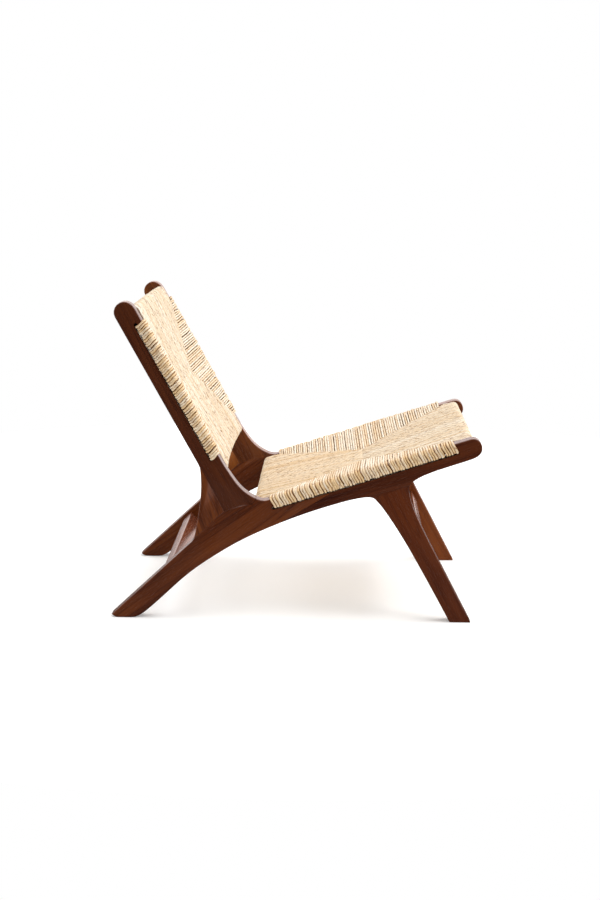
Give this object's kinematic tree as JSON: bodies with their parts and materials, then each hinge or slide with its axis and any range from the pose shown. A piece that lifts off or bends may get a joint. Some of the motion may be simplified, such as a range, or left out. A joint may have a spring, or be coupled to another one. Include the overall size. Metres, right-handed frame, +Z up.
{
  "type": "lounge chair",
  "caption": "Low armless lounge chair: swept dark hardwood plank frames joined by rails and stretchers, with a rush-woven seat and reclined back.",
  "frame": {"origin": "on the floor, below the middle of the bounding box", "axes": "+Z up, -Y forwards (the way the sitter faces), +X to the sitter's left"},
  "size_m": [0.619, 0.791, 0.6826],
  "materials": {
    "frame_wood": "dark red-brown hardwood, oiled to a satin sheen",
    "rail_wood": "dark red-brown hardwood, hidden under the rush",
    "dowel_wood": "plain pale hardwood, unfinished, glued in",
    "rush_cord": "twisted natural rush cord, cream to tan, matt with a faint sheen"
  },
  "bodies": {
    "root": {"left_back_post": "frame_wood", "left_post_heel": "frame_wood", "left_rear_leg": "frame_wood", "left_seat_rail": "frame_wood", "left_front_leg": "frame_wood", "right_back_post": "frame_wood", "right_post_heel": "frame_wood", "right_rear_leg": "frame_wood", "right_seat_rail": "frame_wood", "right_front_leg": "frame_wood", "left_post_dowel_front": "dowel_wood", "left_post_dowel_rear": "dowel_wood", "left_heel_leg_dowel": "dowel_wood", "left_heel_post_dowel": "dowel_wood", "left_scarf_dowel_rear": "dowel_wood", "left_scarf_dowel_front": "dowel_wood", "left_leg_dowel_rear": "dowel_wood", "left_leg_dowel_front": "dowel_wood", "right_post_dowel_front": "dowel_wood", "right_post_dowel_rear": "dowel_wood", "right_heel_leg_dowel": "dowel_wood", "right_heel_post_dowel": "dowel_wood", "right_scarf_dowel_rear": "dowel_wood", "right_scarf_dowel_front": "dowel_wood", "right_leg_dowel_rear": "dowel_wood", "right_leg_dowel_front": "dowel_wood", "seat_front_rail": "rail_wood", "seat_rear_rail": "rail_wood", "back_top_rail": "rail_wood", "back_lower_rail": "rail_wood", "rear_stretcher": "frame_wood", "front_stretcher": "frame_wood", "seat_weave": "rush_cord", "back_weave": "rush_cord"}
  },
  "joints": []
}
